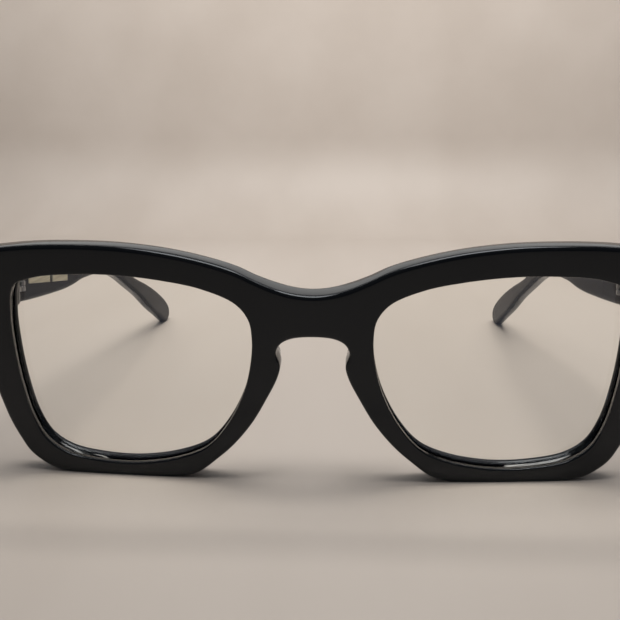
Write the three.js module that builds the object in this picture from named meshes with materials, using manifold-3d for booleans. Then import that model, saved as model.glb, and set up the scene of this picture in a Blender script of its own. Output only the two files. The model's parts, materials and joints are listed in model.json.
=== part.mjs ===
// Acetate glasses with thick rims, a keyhole bridge and folding temples, resting open on a flat surface.
// Millimetres, +X to the wearer's left, +Y towards the wearer's head, +Z up.
// The origin is on the resting surface, in the middle of the bounding box.
import * as THREE from 'three';
import * as BufferGeometryUtils from 'three/addons/utils/BufferGeometryUtils.js';
import Module from 'manifold-3d';

// ---- driving dimensions ----

const FRONT_THICKNESS = 5;
const FRONT_CHAMFER = 0.7;
const FRONT_TILT = THREE.MathUtils.degToRad(7);     // top of the front leans forward when it rests
const WRAP_RADIUS = 600;                            // gentle wrap of the front round the face
const REST_CUT = 0.2;                               // depth of the flats that the rims rest on
const BRIDGE_THICKENING = 0.15;                     // share by which the bridge is deeper than the rims

const LENS_THICKNESS = 1.6;
const LENS_DEPTH = 1.7;                             // front of the lens behind the front of the rim
const LENS_BITE = 0.6;                              // how far the lens edge reaches into its groove
const FIT_GAP = 0.3;                                // gap left round every fitted piece

const PAD_CENTRE = new THREE.Vector2(10.6, 22);
const PAD_LENGTH = 15;
const PAD_WIDTH = 4.6;
const PAD_THICKNESS = 3.1;
const PAD_CROWN = 0.9;                              // depth of the pad's rounded edge
const PAD_TURN = THREE.MathUtils.degToRad(24);

const HINGE = new THREE.Vector3(63.85, 9, 42.5);    // centre of the wearer's left hinge axis
const HINGE_LEAN = THREE.MathUtils.degToRad(6);     // axis leans back, square to the temple's shaft
const HINGE_HEIGHT = 6;
const KNUCKLE_RADIUS = 1.3;
const KNUCKLE_COUNT = 5;
const KNUCKLE_GAP = 0.15;
const LEAF_THICKNESS = 0.8;
const LEAF_REACH = 4.2;                             // how far the temple's leaf runs back
const FRONT_LEAF_INNER = -0.9;                      // span of the front's leaf across the endpiece
const FRONT_LEAF_OUTER = 3;
const NECK_WIDTH = 2;                               // webs that join the front's knuckles to their leaf
const NECK_OVERLAP = 0.2;
const TEMPLE_LEAF_START = 0.2;                      // front edge of the temple's leaf, behind the axis
const TEMPLE_NECK_LENGTH = 1;
const SCREW_RADIUS = 0.6;
const SCREW_HEAD_RADIUS = 1.1;
const SCREW_CLEARANCE = 0.1;

const BUTT_FRONT = -1.75;                           // back face of the endpiece, from the hinge axis
const BUTT_TEMPLE = -1.5;                           // front face of the temple, from the hinge axis
const TEMPLE_INNER = 1.45;                          // inner face of the temple, outboard of the axis
const TEMPLE_THICKNESS = 4.8;
const TIP_THICKNESS = 3.2;
const TEMPLE_LENGTH = 141;
const TIP_SPLAY = 1;                                // how far the tips stand out from the shafts' line
const BUTT_TOP = 5.5;                               // top and bottom of the butt joint, from the hinge
const BUTT_BOTTOM = -5.9;
const TEMPLE_CHAMFER = 0.7;
const BEYOND = 300;                                 // reaches past the whole part

const WIRE_RADIUS = 0.7;
const BAR_HEIGHT = 3.2;
const BAR_THICKNESS = 0.6;
const BAR_PROUD = 0.1;

// ---- outlines ----

// Lens opening of the wearer's left rim, in the plane of the front: across, up.
const OPENING = [
  [12.1, 32.5], [12.6, 27.0], [14.2, 20.8], [17.9, 13.3], [22.5, 7.9], [28.7, 5.0],
  [38, 3.3], [47, 3.6], [53.8, 5.1], [57.9, 8.1], [60.3, 13.2], [61.7, 21],
  [62.2, 29], [61.9, 37], [60.4, 42.8], [56, 44.7], [47, 45.6], [38, 45.5],
  [29.1, 44.5], [21.6, 42.9], [15.2, 40.0], [12.7, 36.7],
];

// Outside of the front, from the top of the bridge round the wearer's left half to its underside.
const FRONT_HALF = [
  [0, 41.7], [5.4, 42.45], [10.8, 44.6], [15, 46.6], [20.5, 48.4], [28.7, 50.2],
  [38, 51.3], [47, 51.6], [56, 51.4], [62.5, 50.8], [68, 50.0], [71.2, 48.6],
  [72.4, 46], [72.4, 41], [71.4, 36], [69.9, 30], [68.7, 24], [67.3, 17.2], [65.9, 11.9],
  [64.2, 7.8], [62.6, 4.8], [60.6, 2.8], [57.5, 0.9], [53.5, 0.1], [45, 0], [35, 0], [29, 0.3],
  [25.0, 1.3], [20.2, 5.1], [16.7, 8.5], [12.7, 13.65], [9.5, 19.3], [7.2, 24.05],
  [6.6, 26.7], [7.35, 29.6], [6.5, 31.4], [4.4, 32.55], [0, 33.0],
];

// Temple seen from the side, from its hinge axis: along the shaft, up.
const TEMPLE_TOP = [
  [8, 5.5], [20, 5.5], [36, 5.1], [53, 4.3], [66, 2.0], [79, -2.2],
  [92, -6.6], [107, -10.2], [123, -14.7], [135.5, -19.3],
];
const TEMPLE_TIP = [[140, -22.0], [141.4, -24.8], [140, -27.4], [136.5, -28.6], [132, -27.3]];
const TEMPLE_BOTTOM = [
  [125, -24.7], [112.5, -20.1], [98.5, -14.1], [86, -9.6], [76, -6.1], [69, -4.2], [62, -3.2],
  [53.5, -3.0], [47, -3.3], [41.5, -3.8], [36, -4.7], [30, -5.3], [23, -5.6], [16, -5.8], [8, -5.9],
];

// Plan of the block behind each end of the front, from the hinge axis: across, back.
const ENDPIECE_PLAN = [
  [-1.1, -6.6], [-1.1, BUTT_FRONT], [6.25, BUTT_FRONT], [7, -4.5], [7.4, -7.2], [4, -8], [0.6, -7.2],
];

// Reinforcing wire in the temple, from its hinge end to the ear part. Its channel is longer.
const WIRE_ROUTE = [[1, 0], [25, 0.2], [45, 0.6], [62, -0.2], [78, -4.4], [95, -10.1], [112, -15.8]];
const CHANNEL_ROUTE = [[-3, 0], ...WIRE_ROUTE.slice(1, -1), [113.2, -16.2]];

// Blank inlay bars on the inner side of the wearer's right temple: start along the shaft, length.
const BARS = [[7.8, 11.5], [20.6, 9.4]];
const BAR_BOTTOM = -2.0;
const BAR_SLOPE = THREE.MathUtils.degToRad(-2.5);

const wasm = await Module();
wasm.setup();

// ---- solids ----

function toSolid(geometry) {
  const bare = geometry.index ? geometry.toNonIndexed() : geometry.clone();
  bare.deleteAttribute('normal');
  bare.deleteAttribute('uv');
  const merged = BufferGeometryUtils.mergeVertices(bare, 1e-5);
  return new wasm.Manifold(new wasm.Mesh({
    numProp: 3,
    vertProperties: new Float32Array(merged.attributes.position.array),
    triVerts: new Uint32Array(merged.index.array),
  }));
}

function toGeometry(solid) {
  const mesh = solid.getMesh();
  const geometry = new THREE.BufferGeometry();
  geometry.setAttribute('position', new THREE.BufferAttribute(mesh.vertProperties, 3));
  geometry.setIndex(new THREE.BufferAttribute(mesh.triVerts, 1));
  geometry.computeVertexNormals();
  return geometry;
}

// Joins the first geometry with those in plus, then cuts those in minus.
function combine(first, plus, minus) {
  const joined = plus.reduce((solid, other) => solid.add(toSolid(other)), toSolid(first));
  return toGeometry(minus.reduce((solid, other) => solid.subtract(toSolid(other)), joined));
}

function mapPoints(geometry, move) {
  const position = geometry.attributes.position;
  const point = new THREE.Vector3();
  for (let i = 0; i < position.count; i += 1) {
    point.fromBufferAttribute(position, i);
    move(point);
    position.setXYZ(i, point.x, point.y, point.z);
  }
  geometry.computeVertexNormals();
  return geometry;
}

// Swaps two corners of every triangle, which a reflection needs to face out again.
function turned(geometry) {
  const copy = geometry.index ? geometry.toNonIndexed() : geometry.clone();
  const position = copy.attributes.position;
  for (let i = 0; i < position.count; i += 3) {
    const second = new THREE.Vector3().fromBufferAttribute(position, i + 1);
    const third = new THREE.Vector3().fromBufferAttribute(position, i + 2);
    position.setXYZ(i + 1, third.x, third.y, third.z);
    position.setXYZ(i + 2, second.x, second.y, second.z);
  }
  return copy;
}

function mirrored(geometry) {
  return mapPoints(turned(geometry), (p) => p.setX(-p.x));
}

function box(x0, x1, y0, y1, z0, z1) {
  const geometry = new THREE.BoxGeometry(x1 - x0, y1 - y0, z1 - z0);
  geometry.translate((x0 + x1) / 2, (y0 + y1) / 2, (z0 + z1) / 2);
  return geometry;
}

// ---- curves ----

// A smooth curve through the points, with three steps between neighbours.
function smooth(points, closed) {
  const corners = points.map(([x, y]) => new THREE.Vector3(x, y, 0));
  const curve = new THREE.CatmullRomCurve3(corners, closed, 'centripetal');
  const steps = 3 * (closed ? points.length : points.length - 1);
  const line = curve.getPoints(steps).map((p) => new THREE.Vector2(p.x, p.y));
  return closed ? line.slice(0, steps) : line;
}

// Moves each side of a counter-clockwise loop outwards by the same distance.
function grown(loop, distance) {
  const outwards = (from, to) => new THREE.Vector2(to.y - from.y, from.x - to.x).normalize();
  return loop.map((point, i) => {
    const before = outwards(loop[(i + loop.length - 1) % loop.length], point);
    const after = outwards(point, loop[(i + 1) % loop.length]);
    const shift = before.clone().add(after).multiplyScalar(distance / (1 + before.dot(after)));
    return point.clone().add(shift);
  });
}

function counterClockwise(loop) {
  return THREE.ShapeUtils.isClockWise(loop) ? loop.slice().reverse() : loop;
}

function plate(loop, depth) {
  return new THREE.ExtrudeGeometry(new THREE.Shape(loop), { depth, bevelEnabled: false });
}

// ---- the front, drawn flat as across, up and back, and then wrapped and tilted ----

// The bridge is a little deeper than the rims, and blends into them.
function thickenBridge(geometry) {
  return mapPoints(geometry, (p) => {
    const across = 1 - THREE.MathUtils.smoothstep(Math.abs(p.x), 6, 12);
    const up = THREE.MathUtils.smoothstep(p.y, 30, 34);
    p.z *= 1 + BRIDGE_THICKENING * across * up;
  });
}

function wrap(geometry) {
  return mapPoints(turned(geometry), (p) => {
    const back = p.z * Math.cos(FRONT_TILT) - p.y * Math.sin(FRONT_TILT);
    const up = p.y * Math.cos(FRONT_TILT) + p.z * Math.sin(FRONT_TILT);
    p.set(p.x, back + p.x * p.x / (2 * WRAP_RADIUS), up);
  });
}

const opening = counterClockwise(smooth(OPENING, true));

function frontBody() {
  const leftHalf = FRONT_HALF.slice(1, -1).reverse().map(([x, y]) => [-x, y]);
  const outline = counterClockwise(smooth([...FRONT_HALF, ...leftHalf], true));
  const shape = new THREE.Shape(grown(outline, -FRONT_CHAMFER));
  const hole = grown(opening, FRONT_CHAMFER);
  shape.holes.push(new THREE.Path(hole));
  shape.holes.push(new THREE.Path(hole.map((p) => new THREE.Vector2(-p.x, p.y)).reverse()));
  const geometry = new THREE.ExtrudeGeometry(shape, {
    depth: FRONT_THICKNESS - 2 * FRONT_CHAMFER,
    bevelThickness: FRONT_CHAMFER,
    bevelSize: FRONT_CHAMFER,
    bevelSegments: 1,
  });
  geometry.translate(0, 0, FRONT_CHAMFER);
  return wrap(thickenBridge(geometry));
}

function lensSlab(bite, depth, thickness) {
  const geometry = plate(grown(opening, bite), thickness);
  geometry.translate(0, 0, depth);
  return wrap(geometry);
}

function lensGroove() {
  return lensSlab(LENS_BITE + FIT_GAP, LENS_DEPTH - FIT_GAP, LENS_THICKNESS + 2 * FIT_GAP);
}

function nosePad() {
  const loop = new THREE.EllipseCurve(0, 0, PAD_WIDTH / 2, PAD_LENGTH / 2).getPoints(24).slice(0, 24);
  const geometry = new THREE.ExtrudeGeometry(new THREE.Shape(grown(loop, -PAD_CROWN)), {
    depth: PAD_THICKNESS - PAD_CROWN,
    bevelThickness: PAD_CROWN,
    bevelSize: PAD_CROWN,
    bevelSegments: 2,
  });
  geometry.translate(0, 0, -(PAD_THICKNESS - PAD_CROWN) / 2);
  geometry.scale(1, 1, PAD_THICKNESS / (PAD_THICKNESS + PAD_CROWN));
  geometry.rotateZ(PAD_TURN);
  geometry.translate(PAD_CENTRE.x, PAD_CENTRE.y, FRONT_THICKNESS + FIT_GAP + PAD_THICKNESS / 2);
  return wrap(geometry);
}

// ---- pieces round the wearer's left hinge, drawn from its axis: across, back, up ----

const hingeFrame = new THREE.Matrix4().makeRotationX(-HINGE_LEAN).setPosition(HINGE);

function endpiece() {
  const loop = ENDPIECE_PLAN.map(([x, y]) => new THREE.Vector2(x, y));
  const geometry = plate(counterClockwise(loop), BUTT_TOP - BUTT_BOTTOM);
  geometry.translate(0, 0, BUTT_BOTTOM);
  return geometry;
}

function knuckle(index) {
  const pitch = HINGE_HEIGHT / KNUCKLE_COUNT;
  const height = pitch - KNUCKLE_GAP;
  const middle = (index - (KNUCKLE_COUNT - 1) / 2) * pitch;
  const barrel = new THREE.CylinderGeometry(KNUCKLE_RADIUS, KNUCKLE_RADIUS, height, 24);
  barrel.rotateX(Math.PI / 2);
  barrel.translate(0, 0, middle);
  return { barrel, low: middle - height / 2, high: middle + height / 2 };
}

function screwHole() {
  const hole = new THREE.CylinderGeometry(
    SCREW_RADIUS + SCREW_CLEARANCE, SCREW_RADIUS + SCREW_CLEARANCE, HINGE_HEIGHT + 4, 16);
  hole.rotateX(Math.PI / 2);
  return hole;
}

function frontLeaf() {
  const half = HINGE_HEIGHT / 2;
  const leaf = box(
    FRONT_LEAF_INNER, FRONT_LEAF_OUTER, BUTT_FRONT - LEAF_THICKNESS, BUTT_FRONT, -half, half);
  const parts = [];
  for (const index of [0, 2, 4]) {
    const { barrel, low, high } = knuckle(index);
    const neck = box(-NECK_WIDTH / 2, NECK_WIDTH / 2, BUTT_FRONT - NECK_OVERLAP, 0, low, high);
    parts.push(barrel, neck);
  }
  return combine(leaf, parts, [screwHole()]);
}

function templeLeaf() {
  const half = HINGE_HEIGHT / 2;
  const leaf = box(
    TEMPLE_INNER, TEMPLE_INNER + LEAF_THICKNESS, TEMPLE_LEAF_START, LEAF_REACH, -half, half);
  const parts = [];
  for (const index of [1, 3]) {
    const { barrel, low, high } = knuckle(index);
    const end = TEMPLE_LEAF_START + TEMPLE_NECK_LENGTH;
    const neck = box(0, TEMPLE_INNER + NECK_OVERLAP, TEMPLE_LEAF_START, end, low, high);
    parts.push(barrel, neck);
  }
  return combine(leaf, parts, [screwHole()]);
}

// The screw's head sits on the top knuckle and its end is flush with the lowest one.
function hingeScrew() {
  const top = HINGE_HEIGHT / 2 - KNUCKLE_GAP / 2 + SCREW_CLEARANCE;
  const profile = [
    [0, -HINGE_HEIGHT / 2], [SCREW_RADIUS, -HINGE_HEIGHT / 2], [SCREW_RADIUS, top],
    [SCREW_HEAD_RADIUS, top], [SCREW_HEAD_RADIUS, top + 0.4], [0.7, top + 0.7], [0, top + 0.7],
  ].map(([x, y]) => new THREE.Vector2(x, y));
  const screw = new THREE.LatheGeometry(profile, 16);
  screw.rotateX(Math.PI / 2);
  const slot = box(-1.5, 1.5, -0.15, 0.15, top + 0.4, top + 1);
  return combine(screw, [], [slot]);
}

// The temple thins towards its tip and splays out a little.
function shapeTemple(geometry) {
  return mapPoints(geometry, (p) => {
    const along = THREE.MathUtils.clamp(p.y / TEMPLE_LENGTH, 0, 1);
    const thickness = THREE.MathUtils.lerp(TEMPLE_THICKNESS, TIP_THICKNESS, along);
    const middle = TEMPLE_INNER + TEMPLE_THICKNESS / 2 + TIP_SPLAY * along * along;
    p.x = middle + p.x * thickness / TEMPLE_THICKNESS;
  });
}

// An outline drawn along the shaft and up becomes a plate centred on x = 0.
function sidePlate(loop, thickness, chamfer) {
  const geometry = new THREE.ExtrudeGeometry(new THREE.Shape(grown(loop, -chamfer)), {
    depth: thickness - 2 * chamfer,
    bevelEnabled: chamfer > 0,
    bevelThickness: chamfer,
    bevelSize: chamfer,
    bevelSegments: 1,
  });
  geometry.translate(0, 0, chamfer - thickness / 2);
  geometry.rotateX(Math.PI / 2);
  geometry.rotateZ(Math.PI / 2);
  return geometry;
}

function templeBody() {
  const loop = smooth([...TEMPLE_TOP, ...TEMPLE_TIP, ...TEMPLE_BOTTOM], false);
  loop.push(new THREE.Vector2(BUTT_TEMPLE, BUTT_BOTTOM));
  loop.push(new THREE.Vector2(BUTT_TEMPLE, BUTT_TOP));
  return shapeTemple(sidePlate(counterClockwise(loop), TEMPLE_THICKNESS, TEMPLE_CHAMFER));
}

function rod(radius, route) {
  const points = route.map(([y, z]) => new THREE.Vector3(0, y, z));
  const section = new THREE.EllipseCurve(0, 0, radius, radius).getPoints(10).slice(0, 10);
  const geometry = new THREE.ExtrudeGeometry(new THREE.Shape(section), {
    steps: 28,
    extrudePath: new THREE.CatmullRomCurve3(points),
    bevelEnabled: false,
  });
  return shapeTemple(geometry);
}

function leafPocket() {
  const half = HINGE_HEIGHT / 2 + FIT_GAP;
  return box(0, TEMPLE_INNER + LEAF_THICKNESS + FIT_GAP, -0.2, LEAF_REACH + FIT_GAP, -half, half);
}

function endpiecePocket() {
  const half = HINGE_HEIGHT / 2 + FIT_GAP;
  const outer = FRONT_LEAF_OUTER + FIT_GAP;
  return box(-outer, outer, BUTT_FRONT - LEAF_THICKNESS - FIT_GAP, 0, -half, half);
}

function inlayBar([start, length], gap) {
  const geometry = box(
    TEMPLE_INNER - BAR_PROUD - gap, TEMPLE_INNER - BAR_PROUD + BAR_THICKNESS + gap,
    -gap, length + gap, -gap, BAR_HEIGHT + gap);
  geometry.rotateX(BAR_SLOPE);
  geometry.translate(0, start, BAR_BOTTOM + Math.tan(BAR_SLOPE) * (start - BARS[0][0]));
  return geometry;
}

// Everything below the surface that the part rests on.
function ground() {
  return box(-BEYOND, BEYOND, -BEYOND, BEYOND, -BEYOND, REST_CUT);
}

// ---- materials ----

function material(color, roughness, metalness = 0) {
  return new THREE.MeshStandardMaterial({ color, roughness, metalness });
}

const acetate = () => material(0x101113, 0.12);
const steel = () => material(0xb9bbbe, 0.35, 1);

function lensMaterial() {
  const clear = material(0xf3f7fb, 0.03);
  clear.transparent = true;
  clear.opacity = 0.2;
  return clear;
}

const silicone = () => material(0xe6e6e0, 0.3);
const paleGold = () => material(0xa8a184, 0.4, 0.8);

// ---- the assembly ----

function piece(name, geometry, look) {
  const mesh = new THREE.Mesh(geometry, look);
  mesh.name = name;
  return mesh;
}

// Everything is drawn for the wearer's left side, and mirrored for the right.
function forSide(side, geometry) {
  return side === 'left' ? geometry : mirrored(geometry);
}

function hingeGroup(side) {
  const group = new THREE.Group();
  group.position.set(side === 'left' ? HINGE.x : -HINGE.x, HINGE.y, HINGE.z);
  group.rotation.x = -HINGE_LEAN;
  return group;
}

function frontFrame() {
  const block = endpiece().applyMatrix4(hingeFrame);
  const pocket = endpiecePocket().applyMatrix4(hingeFrame);
  const groove = lensGroove();
  return combine(
    frontBody(),
    [block, mirrored(block)],
    [groove, mirrored(groove), pocket, mirrored(pocket), ground()],
  );
}

function temple(side) {
  const floor = ground().applyMatrix4(hingeFrame.clone().invert());
  const cuts = [leafPocket(), rod(WIRE_RADIUS + FIT_GAP, CHANNEL_ROUTE), floor];
  if (side === 'right') {
    cuts.push(...BARS.map((bar) => inlayBar(bar, FIT_GAP)));
  }
  return combine(templeBody(), [], cuts);
}

function buildFront() {
  const front = new THREE.Group();
  front.add(piece('front_frame', frontFrame(), acetate()));
  for (const side of ['left', 'right']) {
    const lens = lensSlab(LENS_BITE, LENS_DEPTH, LENS_THICKNESS);
    front.add(piece(`lens_${side}`, forSide(side, lens), lensMaterial()));
    front.add(piece(`nose_pad_${side}`, forSide(side, nosePad()), silicone()));
    const hinge = hingeGroup(side);
    hinge.add(piece(`hinge_front_leaf_${side}`, forSide(side, frontLeaf()), steel()));
    hinge.add(piece(`hinge_screw_${side}`, forSide(side, hingeScrew()), steel()));
    front.add(hinge);
  }
  return front;
}

function buildTemple(side) {
  const group = hingeGroup(side);
  group.add(piece(`temple_${side}`, forSide(side, temple(side)), acetate()));
  group.add(piece(`hinge_temple_leaf_${side}`, forSide(side, templeLeaf()), steel()));
  group.add(piece(`core_wire_${side}`, forSide(side, rod(WIRE_RADIUS, WIRE_ROUTE)), steel()));
  if (side === 'right') {
    BARS.forEach((bar, i) => {
      group.add(piece(`inlay_bar_${i + 1}`, forSide(side, inlayBar(bar, 0)), paleGold()));
    });
  }
  return group;
}

const glasses = new THREE.Group();
glasses.add(buildFront(), buildTemple('left'), buildTemple('right'));
const bounds = new THREE.Box3().setFromObject(glasses, true);
glasses.position.set(0, -(bounds.min.y + bounds.max.y) / 2, -REST_CUT);

export default glasses;
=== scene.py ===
# Studio scene of black acetate glasses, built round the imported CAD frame. Blender works in metres.
import json
import math

import bmesh
import bpy
import numpy as np
from mathutils import Matrix, Vector
from mathutils.geometry import delaunay_2d_cdt


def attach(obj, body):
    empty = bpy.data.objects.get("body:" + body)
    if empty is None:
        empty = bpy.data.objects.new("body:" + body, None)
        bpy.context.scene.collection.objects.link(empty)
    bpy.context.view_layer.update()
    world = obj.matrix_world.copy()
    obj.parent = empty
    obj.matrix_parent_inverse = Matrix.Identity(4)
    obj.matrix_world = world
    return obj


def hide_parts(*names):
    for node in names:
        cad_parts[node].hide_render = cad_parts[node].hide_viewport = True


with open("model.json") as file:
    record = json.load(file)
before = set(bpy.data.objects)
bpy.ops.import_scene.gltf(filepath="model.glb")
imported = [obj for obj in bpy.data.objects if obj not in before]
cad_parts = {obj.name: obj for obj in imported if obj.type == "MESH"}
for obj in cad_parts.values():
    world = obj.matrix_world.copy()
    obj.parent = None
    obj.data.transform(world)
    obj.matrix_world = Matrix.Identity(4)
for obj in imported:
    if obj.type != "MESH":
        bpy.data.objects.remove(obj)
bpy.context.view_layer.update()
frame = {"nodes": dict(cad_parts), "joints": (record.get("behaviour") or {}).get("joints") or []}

MM = 0.001

# ---- driving dimensions, in millimetres, as in the CAD part ----

FRONT_THICKNESS = 5.0
FRONT_TILT = math.radians(7)
WRAP_RADIUS = 600.0
REST_CUT = 0.2
LENS_THICKNESS = 1.6
LENS_DEPTH = 1.7
LENS_BITE = 0.6
LENS_DOME = 1.1                 # how far the middle of the lens bulges forward
BRIDGE_THICKENING = 0.15        # share by which the bridge is deeper than the rims
BRIDGE_RECESS = 0.12            # how far the bridge's face lies behind the rims'
BRIDGE_SIDES = (6, 12)          # across, where the bridge's depth blends into the rims'
BRIDGE_FACE_SIDES = (6.5, 8.8)  # across, where its face does
BRIDGE_FOOT = (30, 34)          # upwards, where both begin
ENDPIECE_INNER = -1.1           # the endpiece's inner side, from the hinge axis
ENDPIECE_CORNER = 1.1
PAD_CENTRE = (10.6, 22.0)
PAD_SIZE = (4.6, 15.0)
PAD_THICKNESS = 3.4
PAD_TURN = math.radians(24)
HINGE = np.array([63.85, 9.0, 42.5])
HINGE_LEAN = math.radians(6)
HINGE_HEIGHT = 6.0
KNUCKLE_RADIUS = 1.3
KNUCKLE_COUNT = 5
KNUCKLE_GAP = 0.15
FRONT_KNUCKLES = (0, 2, 4)
TEMPLE_KNUCKLES = (1, 3)
LEAF_THICKNESS = 0.8
LEAF_REACH = 4.2
LEAF_SINK = 0.15                # how deep the temple's leaf lies under the acetate
SCREW_RADIUS = 0.6
SCREW_HEAD_RADIUS = 1.1
BUTT_FRONT = -1.75              # where the endpiece ends, along the shaft
BUTT_TEMPLE = -1.5              # where the temple starts
TEMPLE_INNER = 1.45             # the temple's inner face, from the hinge axis
TEMPLE_THICKNESS = 4.8
TIP_THICKNESS = 3.2
TEMPLE_LENGTH = 141.0
TIP_SPLAY = 1.0                 # how far the tip stands out from the temple's line
TEMPLE_SECTIONS = 190
BUTT_TOP = 5.5
BUTT_BOTTOM = -5.9
TEMPLE_CORNER = 1.35
BAR_HEIGHT = 3.2
BAR_THICKNESS = 0.6
BAR_PROUD = 0.1
BARS = [(7.8, 11.5), (20.6, 9.4)]     # start along the temple, and length
BAR_BOTTOM = -2.0
BAR_SLOPE = math.radians(-2.5)

OPENING = [
    (12.1, 32.5), (12.6, 27.0), (14.2, 20.8), (17.9, 13.3), (22.5, 7.9), (28.7, 5.0),
    (38, 3.3), (47, 3.6), (53.8, 5.1), (57.9, 8.1), (60.3, 13.2), (61.7, 21),
    (62.2, 29), (61.9, 37), (60.4, 42.8), (56, 44.7), (47, 45.6), (38, 45.5),
    (29.1, 44.5), (21.6, 42.9), (15.2, 40.0), (12.7, 36.7),
]
FRONT_HALF = [
    (0, 41.7), (5.4, 42.45), (10.8, 44.6), (15, 46.6), (20.5, 48.4), (28.7, 50.2),
    (38, 51.3), (47, 51.6), (56, 51.4), (62.5, 50.8), (68, 50.0), (71.2, 48.6),
    (72.4, 46), (72.4, 41), (71.4, 36), (69.9, 30), (68.7, 24), (67.3, 17.2), (65.9, 11.9),
    (64.2, 7.8), (62.6, 4.8), (60.6, 2.8), (57.5, 0.9), (53.5, 0.1), (45, 0), (35, 0), (29, 0.3),
    (25.0, 1.3), (20.2, 5.1), (16.7, 8.5), (12.7, 13.65), (9.5, 19.3), (7.2, 24.05),
    (6.6, 26.7), (7.35, 29.6), (6.5, 31.4), (4.4, 32.55), (0, 33.0),
]
TEMPLE_TOP = [
    (BUTT_TEMPLE, BUTT_TOP), (8, 5.5), (20, 5.5), (36, 5.1), (53, 4.3), (66, 2.0), (79, -2.2),
    (92, -6.6), (107, -10.2), (123, -14.7), (135.5, -19.3), (140, -22.0), (141.4, -24.8),
]
TEMPLE_BOTTOM = [
    (BUTT_TEMPLE, BUTT_BOTTOM), (8, -5.9), (16, -5.8), (23, -5.6), (30, -5.3), (36, -4.7),
    (41.5, -3.8), (47, -3.3), (53.5, -3.0), (62, -3.2), (69, -4.2), (76, -6.1), (86, -9.6),
    (98.5, -14.1), (112.5, -20.1), (125, -24.7), (132, -27.3), (136.5, -28.6), (140, -27.4),
    (141.4, -24.8),
]

# The drawing's origin in the row frame, worked out from the left hinge.
LEFT_JOINT = next(j for j in frame["joints"] if j["name"] == "left_temple_fold")
SHIFT = np.array(LEFT_JOINT["pos_m"]) / MM - HINGE


# ---- curves in the plane ----

def catmull_rom(points, closed, step):
    """The centripetal curve through the points, at an even spacing of about step."""
    pieces_between_points = 24
    p = np.array(points, float)
    if closed:
        p = np.vstack([p[-1], p, p[0], p[1]])
    else:
        p = np.vstack([2 * p[0] - p[1], p, 2 * p[-1] - p[-2]])
    line = []
    t = np.linspace(0, 1, pieces_between_points, endpoint=False)[:, None]
    for a, b, c, d in zip(p, p[1:], p[2:], p[3:]):
        spans = (b - a, c - b, d - c)
        before, here, after = [math.sqrt(max(np.linalg.norm(span), 1e-6)) for span in spans]
        start = ((b - a) / before - (c - a) / (before + here) + (c - b) / here) * here
        end = ((c - b) / here - (d - b) / (here + after) + (d - c) / after) * here
        line.append(b + start * t + (3 * (c - b) - 2 * start - end) * t**2
                    + (2 * (b - c) + start + end) * t**3)
    line = np.vstack(line + [p[1] if closed else p[-2]])
    return even(line, step, closed)


def run_length(line):
    """How far along the line each of its points lies."""
    return np.concatenate([[0], np.cumsum(np.linalg.norm(np.diff(line, axis=0), axis=1))])


def along_line(line, shares):
    """The points of the line at these shares of its length."""
    length = run_length(line)
    at = shares * length[-1]
    return np.column_stack([np.interp(at, length, line[:, k]) for k in range(line.shape[1])])


def even(line, step, closed):
    """The line with evenly spaced points. A closed one leaves out the repeated end."""
    count = max(4, int(round(run_length(line)[-1] / step)))
    spaced = along_line(line, np.linspace(0, 1, count + 1))
    return spaced[:-1] if closed else spaced


def counter_clockwise(loop):
    x, y = loop[:, 0], loop[:, 1]
    area = np.sum(x * np.roll(y, -1) - np.roll(x, -1) * y)
    return loop if area > 0 else loop[::-1]


def outward(loop):
    """Unit normals that point out of a counter-clockwise loop."""
    along = np.roll(loop, -1, 0) - np.roll(loop, 1, 0)
    along /= np.linalg.norm(along, axis=1)[:, None]
    return np.column_stack([along[:, 1], -along[:, 0]])


def inside(loop, points):
    """Which points lie in the loop."""
    x, y = points[:, 0][:, None], points[:, 1][:, None]
    x0, y0 = loop[:, 0][None], loop[:, 1][None]
    x1, y1 = np.roll(loop[:, 0], -1)[None], np.roll(loop[:, 1], -1)[None]
    crosses = (y0 > y) != (y1 > y)
    with np.errstate(divide="ignore", invalid="ignore"):
        at = x0 + (y - y0) * (x1 - x0) / (y1 - y0)
    return (np.sum(crosses & (x < at), axis=1) % 2) == 1


def ellipse(width, height):
    count = 72
    turns = np.arange(count) / count * 2 * math.pi
    return np.column_stack([width / 2 * np.cos(turns), height / 2 * np.sin(turns)])


def rounded_box_loop(x0, x1, y0, y1, radius, arc_steps):
    """A rectangle with round corners."""
    corners = [(x1, y1, 0), (x0, y1, 1), (x0, y0, 2), (x1, y0, 3)]
    loop = []
    for x, y, quarter in corners:
        cx = x - radius if x == x1 else x + radius
        cy = y - radius if y == y1 else y + radius
        for k in range(arc_steps + 1):
            turn = (quarter + k / arc_steps) * math.pi / 2
            loop.append((cx + radius * math.cos(turn), cy + radius * math.sin(turn)))
    return np.array(loop)


# ---- solids ----

def new_mesh(name, points, faces, material):
    """A smooth mesh object from points in row-frame millimetres."""
    mesh = bpy.data.meshes.new(name)
    mesh.from_pydata([tuple(p) for p in np.asarray(points) * MM], [], faces)
    build = bmesh.new()
    build.from_mesh(mesh)
    bmesh.ops.remove_doubles(build, verts=build.verts, dist=1e-8)
    bmesh.ops.recalc_face_normals(build, faces=build.faces)
    build.to_mesh(mesh)
    build.free()
    mesh.polygons.foreach_set("use_smooth", [True] * len(mesh.polygons))
    mesh.materials.append(material)
    obj = bpy.data.objects.new(name, mesh)
    bpy.context.scene.collection.objects.link(obj)
    return obj


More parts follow.
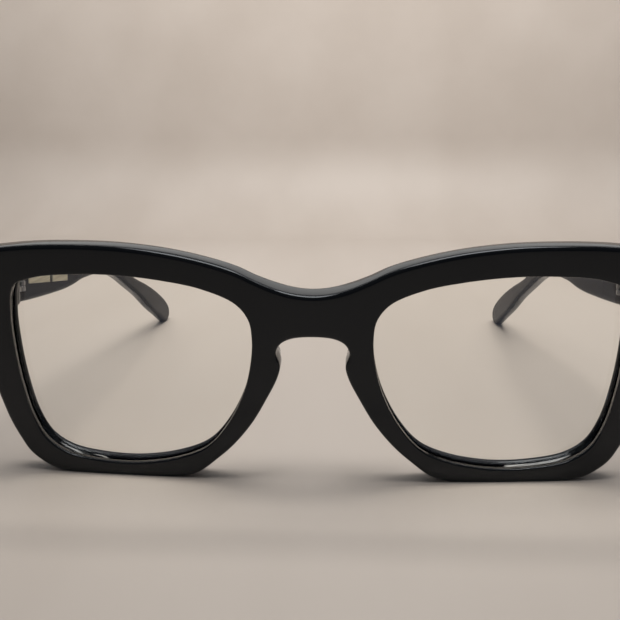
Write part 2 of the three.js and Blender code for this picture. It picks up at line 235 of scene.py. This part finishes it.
def cap_faces(loops, spacing):
    """Triangles that fill the first loop outside the others, as new inner points and faces."""
    low, high = loops[0].min(0), loops[0].max(0)
    rows = np.arange(low[1], high[1], spacing * math.sqrt(3) / 2)
    grid = []
    for k, y in enumerate(rows):
        x = np.arange(low[0] + (k % 2) * spacing / 2, high[0], spacing)
        grid.append(np.column_stack([x, np.full(len(x), y)]))
    grid = np.vstack(grid)
    keep = inside(loops[0], grid)
    for hole in loops[1:]:
        keep &= ~inside(hole, grid)
    grid = grid[keep]
    edge = np.vstack(loops)
    least_gap = 0.55 * spacing
    near = np.array([np.min(np.sum((edge - p) ** 2, axis=1)) for p in grid])
    grid = grid[near > least_gap**2]
    points = np.vstack([edge, grid])
    edges = []
    start = 0
    for loop in loops:
        count = len(loop)
        edges += [(start + i, start + (i + 1) % count) for i in range(count)]
        start += count
    result = delaunay_2d_cdt([Vector(p) for p in points], edges, [], 0, 1e-7)
    origin = [ids[0] for ids in result[3]]
    faces = np.array([[origin[i] for i in face] for face in result[2]])
    middle = points[faces].mean(axis=1)
    keep = inside(loops[0], middle)
    for hole in loops[1:]:
        keep &= ~inside(hole, middle)
    return grid, faces[keep]


def slab(name, loops, profiles, spacing, place, material):
    """A solid between two filled caps. loops are the outer outline and its holes. Each profile is the
    wall behind one loop, from the front cap to the back one, as (inset, depth) pairs. Holes grow by
    their inset, and the outline shrinks by it. inset may hold one number for each point of the loop."""
    rings = []
    for number, (loop, profile) in enumerate(zip(loops, profiles)):
        normal = outward(loop) * (1 if number else -1)
        inner = [(loop + normal * np.reshape(inset, (-1, 1)), depth) for inset, depth in profile]
        rings.append(inner)
    points, faces = [], []
    index = []
    total = 0
    for loop_rings in rings:
        index.append([])
        for ring, depth in loop_rings:
            points.append(np.column_stack([ring, np.full(len(ring), depth)]))
            index[-1].append(total)
            total += len(ring)
    for loop, starts in zip(loops, index):
        count = len(loop)
        for a, b in zip(starts, starts[1:]):
            faces += [(a + i, a + (i + 1) % count, b + (i + 1) % count, b + i) for i in range(count)]
    for end in (0, -1):
        cap_loops = [loop_rings[end][0] for loop_rings in rings]
        grid, triangles = cap_faces(cap_loops, spacing)
        depth = rings[0][end][1]
        lookup = []
        for loop, starts in zip(loops, index):
            lookup += range(starts[end], starts[end] + len(loop))
        lookup += range(total, total + len(grid))
        points.append(np.column_stack([grid, np.full(len(grid), depth)]))
        total += len(grid)
        faces += [tuple(lookup[i] for i in triangle) for triangle in triangles]
    return new_mesh(name, place(np.vstack(points)), faces, material)


def round_over(across, deep, steps=6):
    """The rounded edge from a cap to its wall, as (inset, depth) pairs."""
    turns = [k / steps * math.pi / 2 for k in range(steps + 1)]
    return [(across * (1 - math.sin(t)), deep * (1 - math.cos(t))) for t in turns]


def wall(thickness, front, back, groove=()):
    """A wall with both edges rounded: front and back are (across, deep)."""
    first = round_over(*front)
    last = [(inset, thickness - depth) for inset, depth in reversed(round_over(*back))]
    return first + list(groove) + last


# ---- places ----

def smooth_step(values, start, end):
    """Rises smoothly from 0 at start to 1 at end."""
    t = np.clip((values - start) / (end - start), 0, 1)
    return t * t * (3 - 2 * t)


def wrapped(points):
    """From across, up and back in the flat front to the row frame."""
    x, up, back = points.T
    y = back * math.cos(FRONT_TILT) - up * math.sin(FRONT_TILT) + x**2 / (2 * WRAP_RADIUS)
    z = up * math.cos(FRONT_TILT) + back * math.sin(FRONT_TILT)
    return np.column_stack([x, y, np.maximum(z, REST_CUT)]) + SHIFT


def from_hinge(points):
    """From across, along the shaft and up, at the left hinge axis, to the row frame."""
    x, along, up = points.T
    y = along * math.cos(HINGE_LEAN) + up * math.sin(HINGE_LEAN)
    z = up * math.cos(HINGE_LEAN) - along * math.sin(HINGE_LEAN)
    placed = np.column_stack([x, y, z]) + HINGE
    placed[:, 2] = np.maximum(placed[:, 2], REST_CUT)
    return placed + SHIFT


def on_side(side, place):
    """Mirrors a place for the wearer's right side."""
    def placed(points):
        result = place(points)
        if side == "right":
            result[:, 0] *= -1
        return result
    return placed


# ---- helpers for shells that are lofted or turned ----

def loft_faces(count, rings):
    """The faces of a closed shell whose points are rings of count points."""
    faces = []
    for a in range(rings - 1):
        for i in range(count):
            j = (i + 1) % count
            faces.append((a * count + i, a * count + j, (a + 1) * count + j, (a + 1) * count + i))
    faces.append(tuple(range(count)))
    faces.append(tuple((rings - 1) * count + i for i in range(count)))
    return faces


def joined(shells):
    """Points and faces of several closed shells as one."""
    points, faces = [], []
    total = 0
    for shell_points, shell_faces in shells:
        points.append(shell_points)
        faces += [tuple(i + total for i in face) for face in shell_faces]
        total += len(shell_points)
    return np.vstack(points), faces


def bevelled_box(x0, x1, y0, y1, z0, z1, bevel):
    """A box with all edges bevelled: rings of a rounded rectangle stacked along y."""
    stations = [(bevel, y0), (0, y0 + bevel), (0, y1 - bevel), (bevel, y1)]
    rings = []
    for inset, y in stations:
        loop = rounded_box_loop(x0 + inset, x1 - inset, z0 + inset, z1 - inset, bevel, 3)
        rings.append(np.column_stack([loop[:, 0], np.full(len(loop), y), loop[:, 1]]))
    return np.vstack(rings), loft_faces(len(rings[0]), len(rings))


def revolved(profile):
    """A solid of revolution about the hinge axis, from (radius, height) pairs."""
    segments = 48
    turns = np.arange(segments) / segments * 2 * math.pi
    rings = []
    for radius, height in profile:
        rings.append(np.column_stack([radius * np.cos(turns), radius * np.sin(turns),
                                      np.full(segments, height)]))
    return np.vstack(rings), loft_faces(segments, len(rings))


def crisp(obj, degrees=35):
    """Keeps real edges sharp on a smooth-shaded piece."""
    obj.data.set_sharp_from_angle(angle=math.radians(degrees))
    return obj


def boolean(obj, other, operation):
    """Joins other to obj or cuts it from obj, and removes other."""
    modifier = obj.modifiers.new("boolean", "BOOLEAN")
    modifier.operation = operation
    modifier.solver = "EXACT"
    modifier.object = other
    bpy.context.view_layer.update()
    evaluated = obj.evaluated_get(bpy.context.evaluated_depsgraph_get())
    result = bpy.data.meshes.new_from_object(evaluated)
    obj.modifiers.clear()
    obj.data = result
    bpy.data.objects.remove(other)
    return obj


# ---- materials ----

class Nodes:
    """Short names for building one procedural material."""

    def __init__(self, name):
        self.material = bpy.data.materials.new(name)
        self.material.use_nodes = True
        self.tree = self.material.node_tree
        self.shader = self.tree.nodes["Principled BSDF"]
        self.place = self.add("ShaderNodeTexCoord").outputs["Object"]

    def add(self, kind, **settings):
        node = self.tree.nodes.new(kind)
        for key, value in settings.items():
            setattr(node, key, value)
        return node

    def link(self, source, target):
        self.tree.links.new(source, target)

    def set(self, **values):
        for key, value in values.items():
            self.shader.inputs[key.replace("_", " ")].default_value = value

    def stretched(self, scale):
        mapping = self.add("ShaderNodeMapping")
        mapping.inputs["Scale"].default_value = scale
        self.link(self.place, mapping.inputs["Vector"])
        return mapping.outputs["Vector"]

    def noise(self, scale, detail, place=None):
        node = self.add("ShaderNodeTexNoise")
        node.inputs["Scale"].default_value = scale
        node.inputs["Detail"].default_value = detail
        self.link(place or self.place, node.inputs["Vector"])
        return node.outputs["Fac"]

    def ramp(self, source, stops):
        node = self.add("ShaderNodeValToRGB")
        elements = node.color_ramp.elements
        while len(elements) < len(stops):
            elements.new(0.5)
        for element, (position, colour) in zip(elements, stops):
            element.position = position
            element.color = (*colour, 1)
        self.link(source, node.inputs["Fac"])
        return node.outputs["Color"]

    def between(self, source, low, high):
        """Spreads the middle of a noise over the range from low to high."""
        node = self.add("ShaderNodeMapRange")
        limits = {"From Min": 0.3, "From Max": 0.7, "To Min": low, "To Max": high}
        for key, value in limits.items():
            node.inputs[key].default_value = value
        self.link(source, node.inputs["Value"])
        return node.outputs["Result"]

    def bump(self, source, strength, distance):
        node = self.add("ShaderNodeBump")
        node.inputs["Strength"].default_value = strength
        node.inputs["Distance"].default_value = distance
        self.link(source, node.inputs["Height"])
        self.link(node.outputs["Normal"], self.shader.inputs["Normal"])

    def clear_to_lamps(self):
        """Lets light from the lamps pass, as a thin clear piece does. Gives the node that tints it."""
        path = self.add("ShaderNodeLightPath")
        passing = self.add("ShaderNodeBsdfTransparent")
        mix = self.add("ShaderNodeMixShader")
        output = self.tree.nodes["Material Output"]
        self.link(path.outputs["Is Shadow Ray"], mix.inputs[0])
        self.link(self.shader.outputs[0], mix.inputs[1])
        self.link(passing.outputs[0], mix.inputs[2])
        self.link(mix.outputs[0], output.inputs["Surface"])
        return passing


def acetate(name, dark, light, specular, tint, smoothest, roughest, bump):
    """Black acetate: deep colour with a faint variation, hairline polish marks, gentle waves."""
    m = Nodes(name)
    m.set(IOR=1.49, Specular_IOR_Level=specular, Specular_Tint=(*tint, 1))
    cloud = m.noise(60, 4)
    m.link(m.ramp(cloud, [(0.3, dark), (0.7, light)]), m.shader.inputs["Base Color"])
    marks = m.noise(900, 5, m.stretched((1, 0.15, 1)))
    m.link(m.between(marks, smoothest, roughest), m.shader.inputs["Roughness"])
    m.bump(m.noise(220, 2), bump, 0.0002)
    return m.material


def lens_glass():
    """Clear lens with a faint cool coating and a trace of warm tint."""
    m = Nodes("lens")
    m.set(Base_Color=(0.985, 0.985, 0.965, 1), Roughness=0.0, IOR=1.5, Transmission_Weight=1.0,
          Specular_Tint=(0.62, 0.74, 1.0, 1))
    passing = m.clear_to_lamps()
    passing.inputs["Color"].default_value = (0.96, 0.96, 0.94, 1)
    m.bump(m.noise(90, 3), 0.01, 0.00005)
    return m.material


def silicone():
    """Slightly milky clear silicone."""
    m = Nodes("nose_pad")
    m.set(Base_Color=(0.9, 0.9, 0.87, 1), IOR=1.41, Transmission_Weight=0.75, Subsurface_Weight=0.1)
    m.link(m.between(m.noise(700, 3), 0.16, 0.3), m.shader.inputs["Roughness"])
    m.bump(m.noise(1500, 2), 0.05, 0.0001)
    passing = m.clear_to_lamps()
    passing.inputs["Color"].default_value = (0.6, 0.6, 0.58, 1)
    return m.material


def brushed_steel():
    """Satin hinge metal, brushed across the barrels."""
    m = Nodes("hinge_steel")
    m.set(Metallic=1.0)
    grain = m.noise(2500, 4, m.stretched((1, 1, 0.06)))
    colour = m.ramp(grain, [(0.3, (0.20, 0.20, 0.205)), (0.7, (0.34, 0.34, 0.345))])
    m.link(colour, m.shader.inputs["Base Color"])
    m.link(m.between(grain, 0.22, 0.42), m.shader.inputs["Roughness"])
    m.bump(grain, 0.15, 0.00003)
    return m.material


def pale_foil():
    """Dull pale gold, brushed along the temple."""
    m = Nodes("inlay")
    m.set(Metallic=0.55)
    grain = m.noise(1800, 4, m.stretched((1, 0.05, 1)))
    colour = m.ramp(grain, [(0.3, (0.36, 0.33, 0.23)), (0.7, (0.60, 0.57, 0.44))])
    m.link(colour, m.shader.inputs["Base Color"])
    m.link(m.between(grain, 0.3, 0.5), m.shader.inputs["Roughness"])
    m.bump(grain, 0.2, 0.00004)
    return m.material


ACETATE = acetate(
    "acetate", dark=(0.0045, 0.0048, 0.0055), light=(0.0075, 0.0078, 0.0085),
    specular=0.36, tint=(0.86, 0.92, 1.0), smoothest=0.07, roughest=0.15, bump=0.03)
# A copy of the acetate for the temples' inner faces, with painted shade: almost no reflection and a
# dull brown colour, so that side reads darker
SHADED_INNER_ACETATE = acetate(
    "shaded_inner_acetate", dark=(0.012, 0.010, 0.008), light=(0.017, 0.014, 0.012),
    specular=0.02, tint=(1.0, 0.92, 0.84), smoothest=0.14, roughest=0.22, bump=0.005)
LENS = lens_glass()
SILICONE = silicone()
STEEL = brushed_steel()
FOIL = pale_foil()


# ---- the front ----

OPENING_LOOP = counter_clockwise(catmull_rom(OPENING, True, 0.5))
MIRRORED_OPENING = counter_clockwise(OPENING_LOOP * [-1, 1])


def front_outline():
    left_half = [(-x, y) for x, y in FRONT_HALF[-2:0:-1]]
    return counter_clockwise(catmull_rom(FRONT_HALF + left_half, True, 0.45))


def endpiece(side):
    """The block behind each end of the front, which the temple butts against."""
    # along the shaft, the outer side from the hinge axis, and how far the edge is drawn in
    stations = [(-7.0, 8.0, 0), (-6.0, 7.8, 0), (-5.0, 7.5, 0), (-4.0, 7.15, 0), (-3.0, 6.75, 0),
                (BUTT_FRONT - 0.25, 6.33, 0), (BUTT_FRONT - 0.07, 6.27, 0.07),
                (BUTT_FRONT, 6.25, 0.25)]
    rings = []
    for along, outer, inset in stations:
        loop = rounded_box_loop(ENDPIECE_INNER + inset, outer - inset,
                                BUTT_BOTTOM + inset, BUTT_TOP - inset, ENDPIECE_CORNER, 8)
        rings.append(np.column_stack([loop[:, 0], np.full(len(loop), along), loop[:, 1]]))
    points = on_side(side, from_hinge)(np.vstack(rings))
    faces = loft_faces(len(rings[0]), len(rings))
    return crisp(new_mesh("endpiece_" + side, points, faces, ACETATE))


def bridged(points):
    """The front's place: the bridge is a little deeper than the rims, and blends into them."""
    x, up, back = points.T
    across = np.abs(x)
    deeper = (1 - smooth_step(across, *BRIDGE_SIDES)) * smooth_step(up, *BRIDGE_FOOT)
    recessed = (1 - smooth_step(across, *BRIDGE_FACE_SIDES)) * smooth_step(up, *BRIDGE_FOOT)
    back = back * (1 + BRIDGE_THICKENING * deeper) + BRIDGE_RECESS * recessed
    return wrapped(np.column_stack([x, up, back]))


def front():
    # the lens groove, as inset and depth
    groove = [(0, 1.15), (0.35, 1.25), (0.75, 2.0), (0.75, 2.7), (0.35, 3.3), (0, 3.4)]
    rim_wall = wall(FRONT_THICKNESS, (0.4, 0.4), (0.25, 0.3), groove)
    outline = front_outline()
    across, up = np.abs(outline[:, 0]), outline[:, 1]
    # the back edge is rounder along the brow, above the lenses
    brow = smooth_step(across, 14, 22) * smooth_step(up, 40, 46)
    outer_wall = wall(FRONT_THICKNESS, (1.0, 0.8), (0.3 + 0.7 * brow, 0.8))
    body = slab("front", [outline, OPENING_LOOP, MIRRORED_OPENING],
                [outer_wall, rim_wall, rim_wall], 1.0, bridged, ACETATE)
    for side in ("left", "right"):
        boolean(body, endpiece(side), "UNION")
    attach(body, "front")
    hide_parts("front_frame")


def domed(points):
    """The lens's place: its middle bulges towards the front."""
    middle = (OPENING_LOOP.min(0) + OPENING_LOOP.max(0)) / 2
    dome_reach = 27.0
    radius = np.linalg.norm(points[:, :2] - middle, axis=1)
    depth = points[:, 2] + LENS_DEPTH - LENS_DOME * (1 - (radius / dome_reach) ** 2)
    return wrapped(np.column_stack([points[:, :2], depth]))


def lens(side):
    loop = OPENING_LOOP + outward(OPENING_LOOP) * LENS_BITE
    edge = 0.45
    bevel = [(edge, 0), (0, LENS_THICKNESS / 2), (edge, LENS_THICKNESS)]
    body = slab("clear_lens_" + side, [loop], [bevel], 1.2, on_side(side, domed), LENS)
    crisp(body)
    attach(body, "front")
    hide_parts("lens_" + side)


def nose_pad(side):
    """A domed oval pad, sunk a little into the back of the rim."""
    sink = 0.05
    rings = []
    for inset, depth in wall(PAD_THICKNESS + sink, (0.3, 0.3), (2.0, 2.4)):
        loop = ellipse(PAD_SIZE[0] - 2 * inset, PAD_SIZE[1] - 2 * inset)
        rings.append(np.column_stack([loop, np.full(len(loop), depth + FRONT_THICKNESS - sink)]))
    x, up, depth = np.vstack(rings).T
    across = x * math.cos(PAD_TURN) - up * math.sin(PAD_TURN) + PAD_CENTRE[0]
    height = x * math.sin(PAD_TURN) + up * math.cos(PAD_TURN) + PAD_CENTRE[1]
    points = on_side(side, wrapped)(np.column_stack([across, height, depth]))
    body = new_mesh("soft_pad_" + side, points, loft_faces(len(rings[0]), len(rings)), SILICONE)
    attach(body, "front")
    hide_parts("nose_pad_" + side)


# ---- hinges ----

def barrel(index):
    """One knuckle, counted from the bottom, and the heights of its ends."""
    pitch = HINGE_HEIGHT / KNUCKLE_COUNT
    middle = (index - (KNUCKLE_COUNT - 1) / 2) * pitch
    low = middle - (pitch - KNUCKLE_GAP) / 2
    high = middle + (pitch - KNUCKLE_GAP) / 2
    edge = 0.12
    profile = [(SCREW_RADIUS, low), (KNUCKLE_RADIUS - edge, low), (KNUCKLE_RADIUS, low + edge),
               (KNUCKLE_RADIUS, high - edge), (KNUCKLE_RADIUS - edge, high), (SCREW_RADIUS, high)]
    return revolved(profile), low, high


def hinge_piece(name, node, body_name, side, shells):
    points, faces = joined(shells)
    body = crisp(new_mesh(name, on_side(side, from_hinge)(points), faces, STEEL))
    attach(body, body_name)
    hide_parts(node)


def hinge(side):
    """Two leaves, each with its knuckles and the webs that join them to it."""
    half = HINGE_HEIGHT / 2
    proud = 0.03
    leaf_edge = 0.12
    web_edge = 0.08
    shells = [bevelled_box(-0.9, 3, BUTT_FRONT - LEAF_THICKNESS, BUTT_FRONT + proud,
                           -half, half, leaf_edge)]
    for index in FRONT_KNUCKLES:
        shell, low, high = barrel(index)
        shells += [shell, bevelled_box(-1, 1, BUTT_FRONT - 0.2, -0.3, low, high, web_edge)]
    hinge_piece("front_leaf_" + side, "hinge_front_leaf_" + side, "front", side, shells)
    inner = TEMPLE_INNER + LEAF_SINK
    shells = [bevelled_box(inner, inner + LEAF_THICKNESS, 0.2, LEAF_REACH, -half, half, leaf_edge)]
    for index in TEMPLE_KNUCKLES:
        shell, low, high = barrel(index)
        shells += [shell, bevelled_box(0.3, TEMPLE_INNER + 0.2, 0.2, 1.25, low, high, web_edge)]
    hinge_piece("temple_leaf_" + side, "hinge_temple_leaf_" + side, side + "_temple", side, shells)


def screw(side):
    """A screw through all knuckles, with a domed and slotted head."""
    top = HINGE_HEIGHT / 2
    shaft = SCREW_RADIUS - 0.02
    head = SCREW_HEAD_RADIUS
    profile = [(0.1, -top), (SCREW_RADIUS - 0.1, -top), (shaft, 0.1 - top), (shaft, top),
               (head - 0.05, top), (head, top + 0.06), (head, top + 0.3),
               (head - 0.15, top + 0.5), (head - 0.5, top + 0.65), (0.1, top + 0.7)]
    points, faces = revolved(profile)
    place = on_side(side, from_hinge)
    body = new_mesh("screw_" + side, place(points), faces, STEEL)
    points, faces = bevelled_box(-1.5, 1.5, -0.15, 0.15, top + 0.35, top + 1, 0.03)
    slot = new_mesh("slot", place(points), faces, STEEL)
    crisp(boolean(body, slot, "DIFFERENCE"))
    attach(body, "front")
    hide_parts("hinge_screw_" + side)


# ---- temples ----

def temple_edges():
    """The top and bottom edges, paired from the hinge end to the tip's apex."""
    outline = catmull_rom(TEMPLE_TOP[:-1] + TEMPLE_BOTTOM[::-1], False, 0.3)
    apex = np.argmin(np.linalg.norm(outline - TEMPLE_TOP[-1], axis=1))
    return outline[:apex + 1], outline[apex:][::-1]


def spread(line):
    """The points of an edge where the sections stand, closer together near the tip."""
    crowding = 1.5
    return along_line(line, 1 - (1 - np.linspace(0, 1, TEMPLE_SECTIONS)) ** crowding)


def section(half_thick, half_high, radius):
    """A rounded rectangle with evenly spread points, always the same number of them."""
    count = 80
    loop = rounded_box_loop(-half_thick, half_thick, -half_high, half_high, radius, 10)
    return along_line(np.vstack([loop, loop[:1]]), np.linspace(0, 1, count + 1))[:-1]


def temple(side):
    """Rounded sections between the two edges. They grow thinner, and close round the tip."""
    top, bottom = [spread(line) for line in temple_edges()]
    closing_height = 2.4
    apex_direction = np.array([0.34, 0.94])
    butt_edge = 0.3
    rings = []
    for number, (high, low) in enumerate(zip(top, bottom)):
        middle = (high + low) / 2
        along = min(max(middle[0] / TEMPLE_LENGTH, 0), 1)
        half_high = max(np.linalg.norm(high - low) / 2, 0.05)
        at_apex = number == TEMPLE_SECTIONS - 1
        up = apex_direction if at_apex else (high - low) / (2 * half_high)
        closing = math.sqrt(1 - (1 - min(1, half_high / closing_height)) ** 2)
        thick = (TEMPLE_THICKNESS + (TIP_THICKNESS - TEMPLE_THICKNESS) * along) / 2 * closing
        inset = butt_edge * (1 - number / 2) if number < 2 else 0
        radius = min(TEMPLE_CORNER, 0.95 * thick, 0.95 * half_high)
        loop = section(thick - inset, half_high - inset, radius)
        across = loop[:, 0] + TEMPLE_INNER + TEMPLE_THICKNESS / 2 + TIP_SPLAY * along**2
        rings.append(np.column_stack([across, middle + loop[:, 1:] * up]))
    points = on_side(side, from_hinge)(np.vstack(rings))
    body = new_mesh("temple_arm_" + side, points, loft_faces(len(rings[0]), len(rings)), ACETATE)
    crisp(body, 50)
    # the inner face gets a copy of the acetate with painted shade: almost no reflection and a duller,
    # browner colour than the rest
    body.data.materials.append(SHADED_INNER_ACETATE)
    inward = -1 if side == "left" else 1
    for face in body.data.polygons:
        face.material_index = int(face.normal.x * inward > 0.3)
    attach(body, side + "_temple")
    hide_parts("temple_" + side)


def inlay_bar(number):
    """A blank bar let into the inner face of the wearer's right temple."""
    start, length = BARS[number]
    inner = TEMPLE_INNER - BAR_PROUD
    points, faces = bevelled_box(inner, inner + BAR_THICKNESS, 0, length, 0, BAR_HEIGHT, 0.15)
    x, along, up = points.T
    drop = math.tan(BAR_SLOPE) * (along + start - BARS[0][0])
    placed = np.column_stack([x, along + start, up + BAR_BOTTOM + drop])
    body = crisp(new_mesh(f"bar_{number + 1}", on_side("right", from_hinge)(placed), faces, FOIL))
    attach(body, "right_temple")
    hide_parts(f"inlay_bar_{number + 1}")


# ---- the studio ----

def stage():
    """A plain pale floor that curves up into a low backdrop."""
    floor_back, floor_front, half_width, height, bend = 0.42, -0.9, 1.2, 0.22, 0.08
    profile = [(floor_front, 0.0)]
    bend_steps = 12
    for k in range(bend_steps + 1):
        turn = k / bend_steps * math.pi / 2
        profile.append((floor_back - bend + bend * math.sin(turn), bend - bend * math.cos(turn)))
    profile.append((floor_back, height))
    points = [(x, y, z) for y, z in profile for x in (-half_width, half_width)]
    faces = [(2 * i, 2 * i + 1, 2 * i + 3, 2 * i + 2) for i in range(len(profile) - 1)]
    m = Nodes("studio_floor")
    cloud = m.noise(14, 4, m.stretched((1, 0.2, 1)))
    colour = m.ramp(cloud, [(0.35, (0.50, 0.44, 0.39)), (0.65, (0.54, 0.48, 0.43))])
    m.link(colour, m.shader.inputs["Base Color"])
    m.set(Roughness=0.55)
    backdrop = new_mesh("backdrop", np.array(points) / MM, faces, m.material)


def area_light(name, place, aim, size, power, colour, on_floor=True):
    """A lamp. One that isn't on_floor shows only in reflections."""
    data = bpy.data.lights.new(name, "AREA")
    data.shape = "RECTANGLE"
    data.size, data.size_y = size
    data.energy = power
    data.color = colour
    lamp = bpy.data.objects.new(name, data)
    lamp.location = place
    lamp.rotation_euler = (Vector(aim) - Vector(place)).to_track_quat("-Z", "Y").to_euler()
    lamp.visible_diffuse = on_floor
    bpy.context.scene.collection.objects.link(lamp)


def lights():
    world = bpy.data.worlds.new("studio")
    world.use_nodes = True
    background = world.node_tree.nodes["Background"]
    background.inputs["Color"].default_value = (0.62, 0.78, 1.0, 1)
    background.inputs["Strength"].default_value = 0.08
    bpy.context.scene.world = world
    area_light("ceiling", place=(0.05, -0.1, 0.75), aim=(0, 0.02, 0),
               size=(0.5, 0.35), power=4.3, colour=(1, 0.98, 0.95))
    area_light("rear_softbox", place=(0.0, 0.41, 0.29), aim=(0, -0.05, 0.05),
               size=(1.1, 0.13), power=0.4, colour=(1, 0.97, 0.92), on_floor=False)
    area_light("backdrop_light", place=(0.0, 0.1, 0.4), aim=(0, 0.42, 0.1),
               size=(0.8, 0.1), power=1.6, colour=(1, 0.97, 0.93))


def camera():
    """The photograph's view: low, close and slightly to the wearer's left."""
    focal_to_width = 700 / 620
    place = np.array([6.16, -137.16, 68.89])        # from the drawing's origin
    looking_down = math.radians(12.88)
    yaw, roll = math.radians(2.834), math.radians(-0.194)
    data = bpy.data.cameras.new("camera")
    data.sensor_width = 36
    data.lens = data.sensor_width * focal_to_width
    data.clip_start = 0.01
    view = bpy.data.objects.new("camera", data)
    view.location = (place + SHIFT + [0, 0, REST_CUT]) * MM
    turn = Matrix.Rotation(yaw, 3, "Z") @ Matrix.Rotation(math.pi / 2 - looking_down, 3, "X")
    view.rotation_euler = (turn @ Matrix.Rotation(roll, 3, "Z")).to_euler()
    bpy.context.scene.collection.objects.link(view)
    bpy.context.scene.camera = view


camera()
stage()
lights()
bpy.context.scene.view_settings.view_transform = "Standard"
front()
for wearer_side in ("left", "right"):
    lens(wearer_side)
    nose_pad(wearer_side)
    hinge(wearer_side)
    screw(wearer_side)
    temple(wearer_side)
    wire = frame["nodes"]["core_wire_" + wearer_side]
    wire.data.materials.clear()
    wire.data.materials.append(STEEL)
inlay_bar(0)
inlay_bar(1)
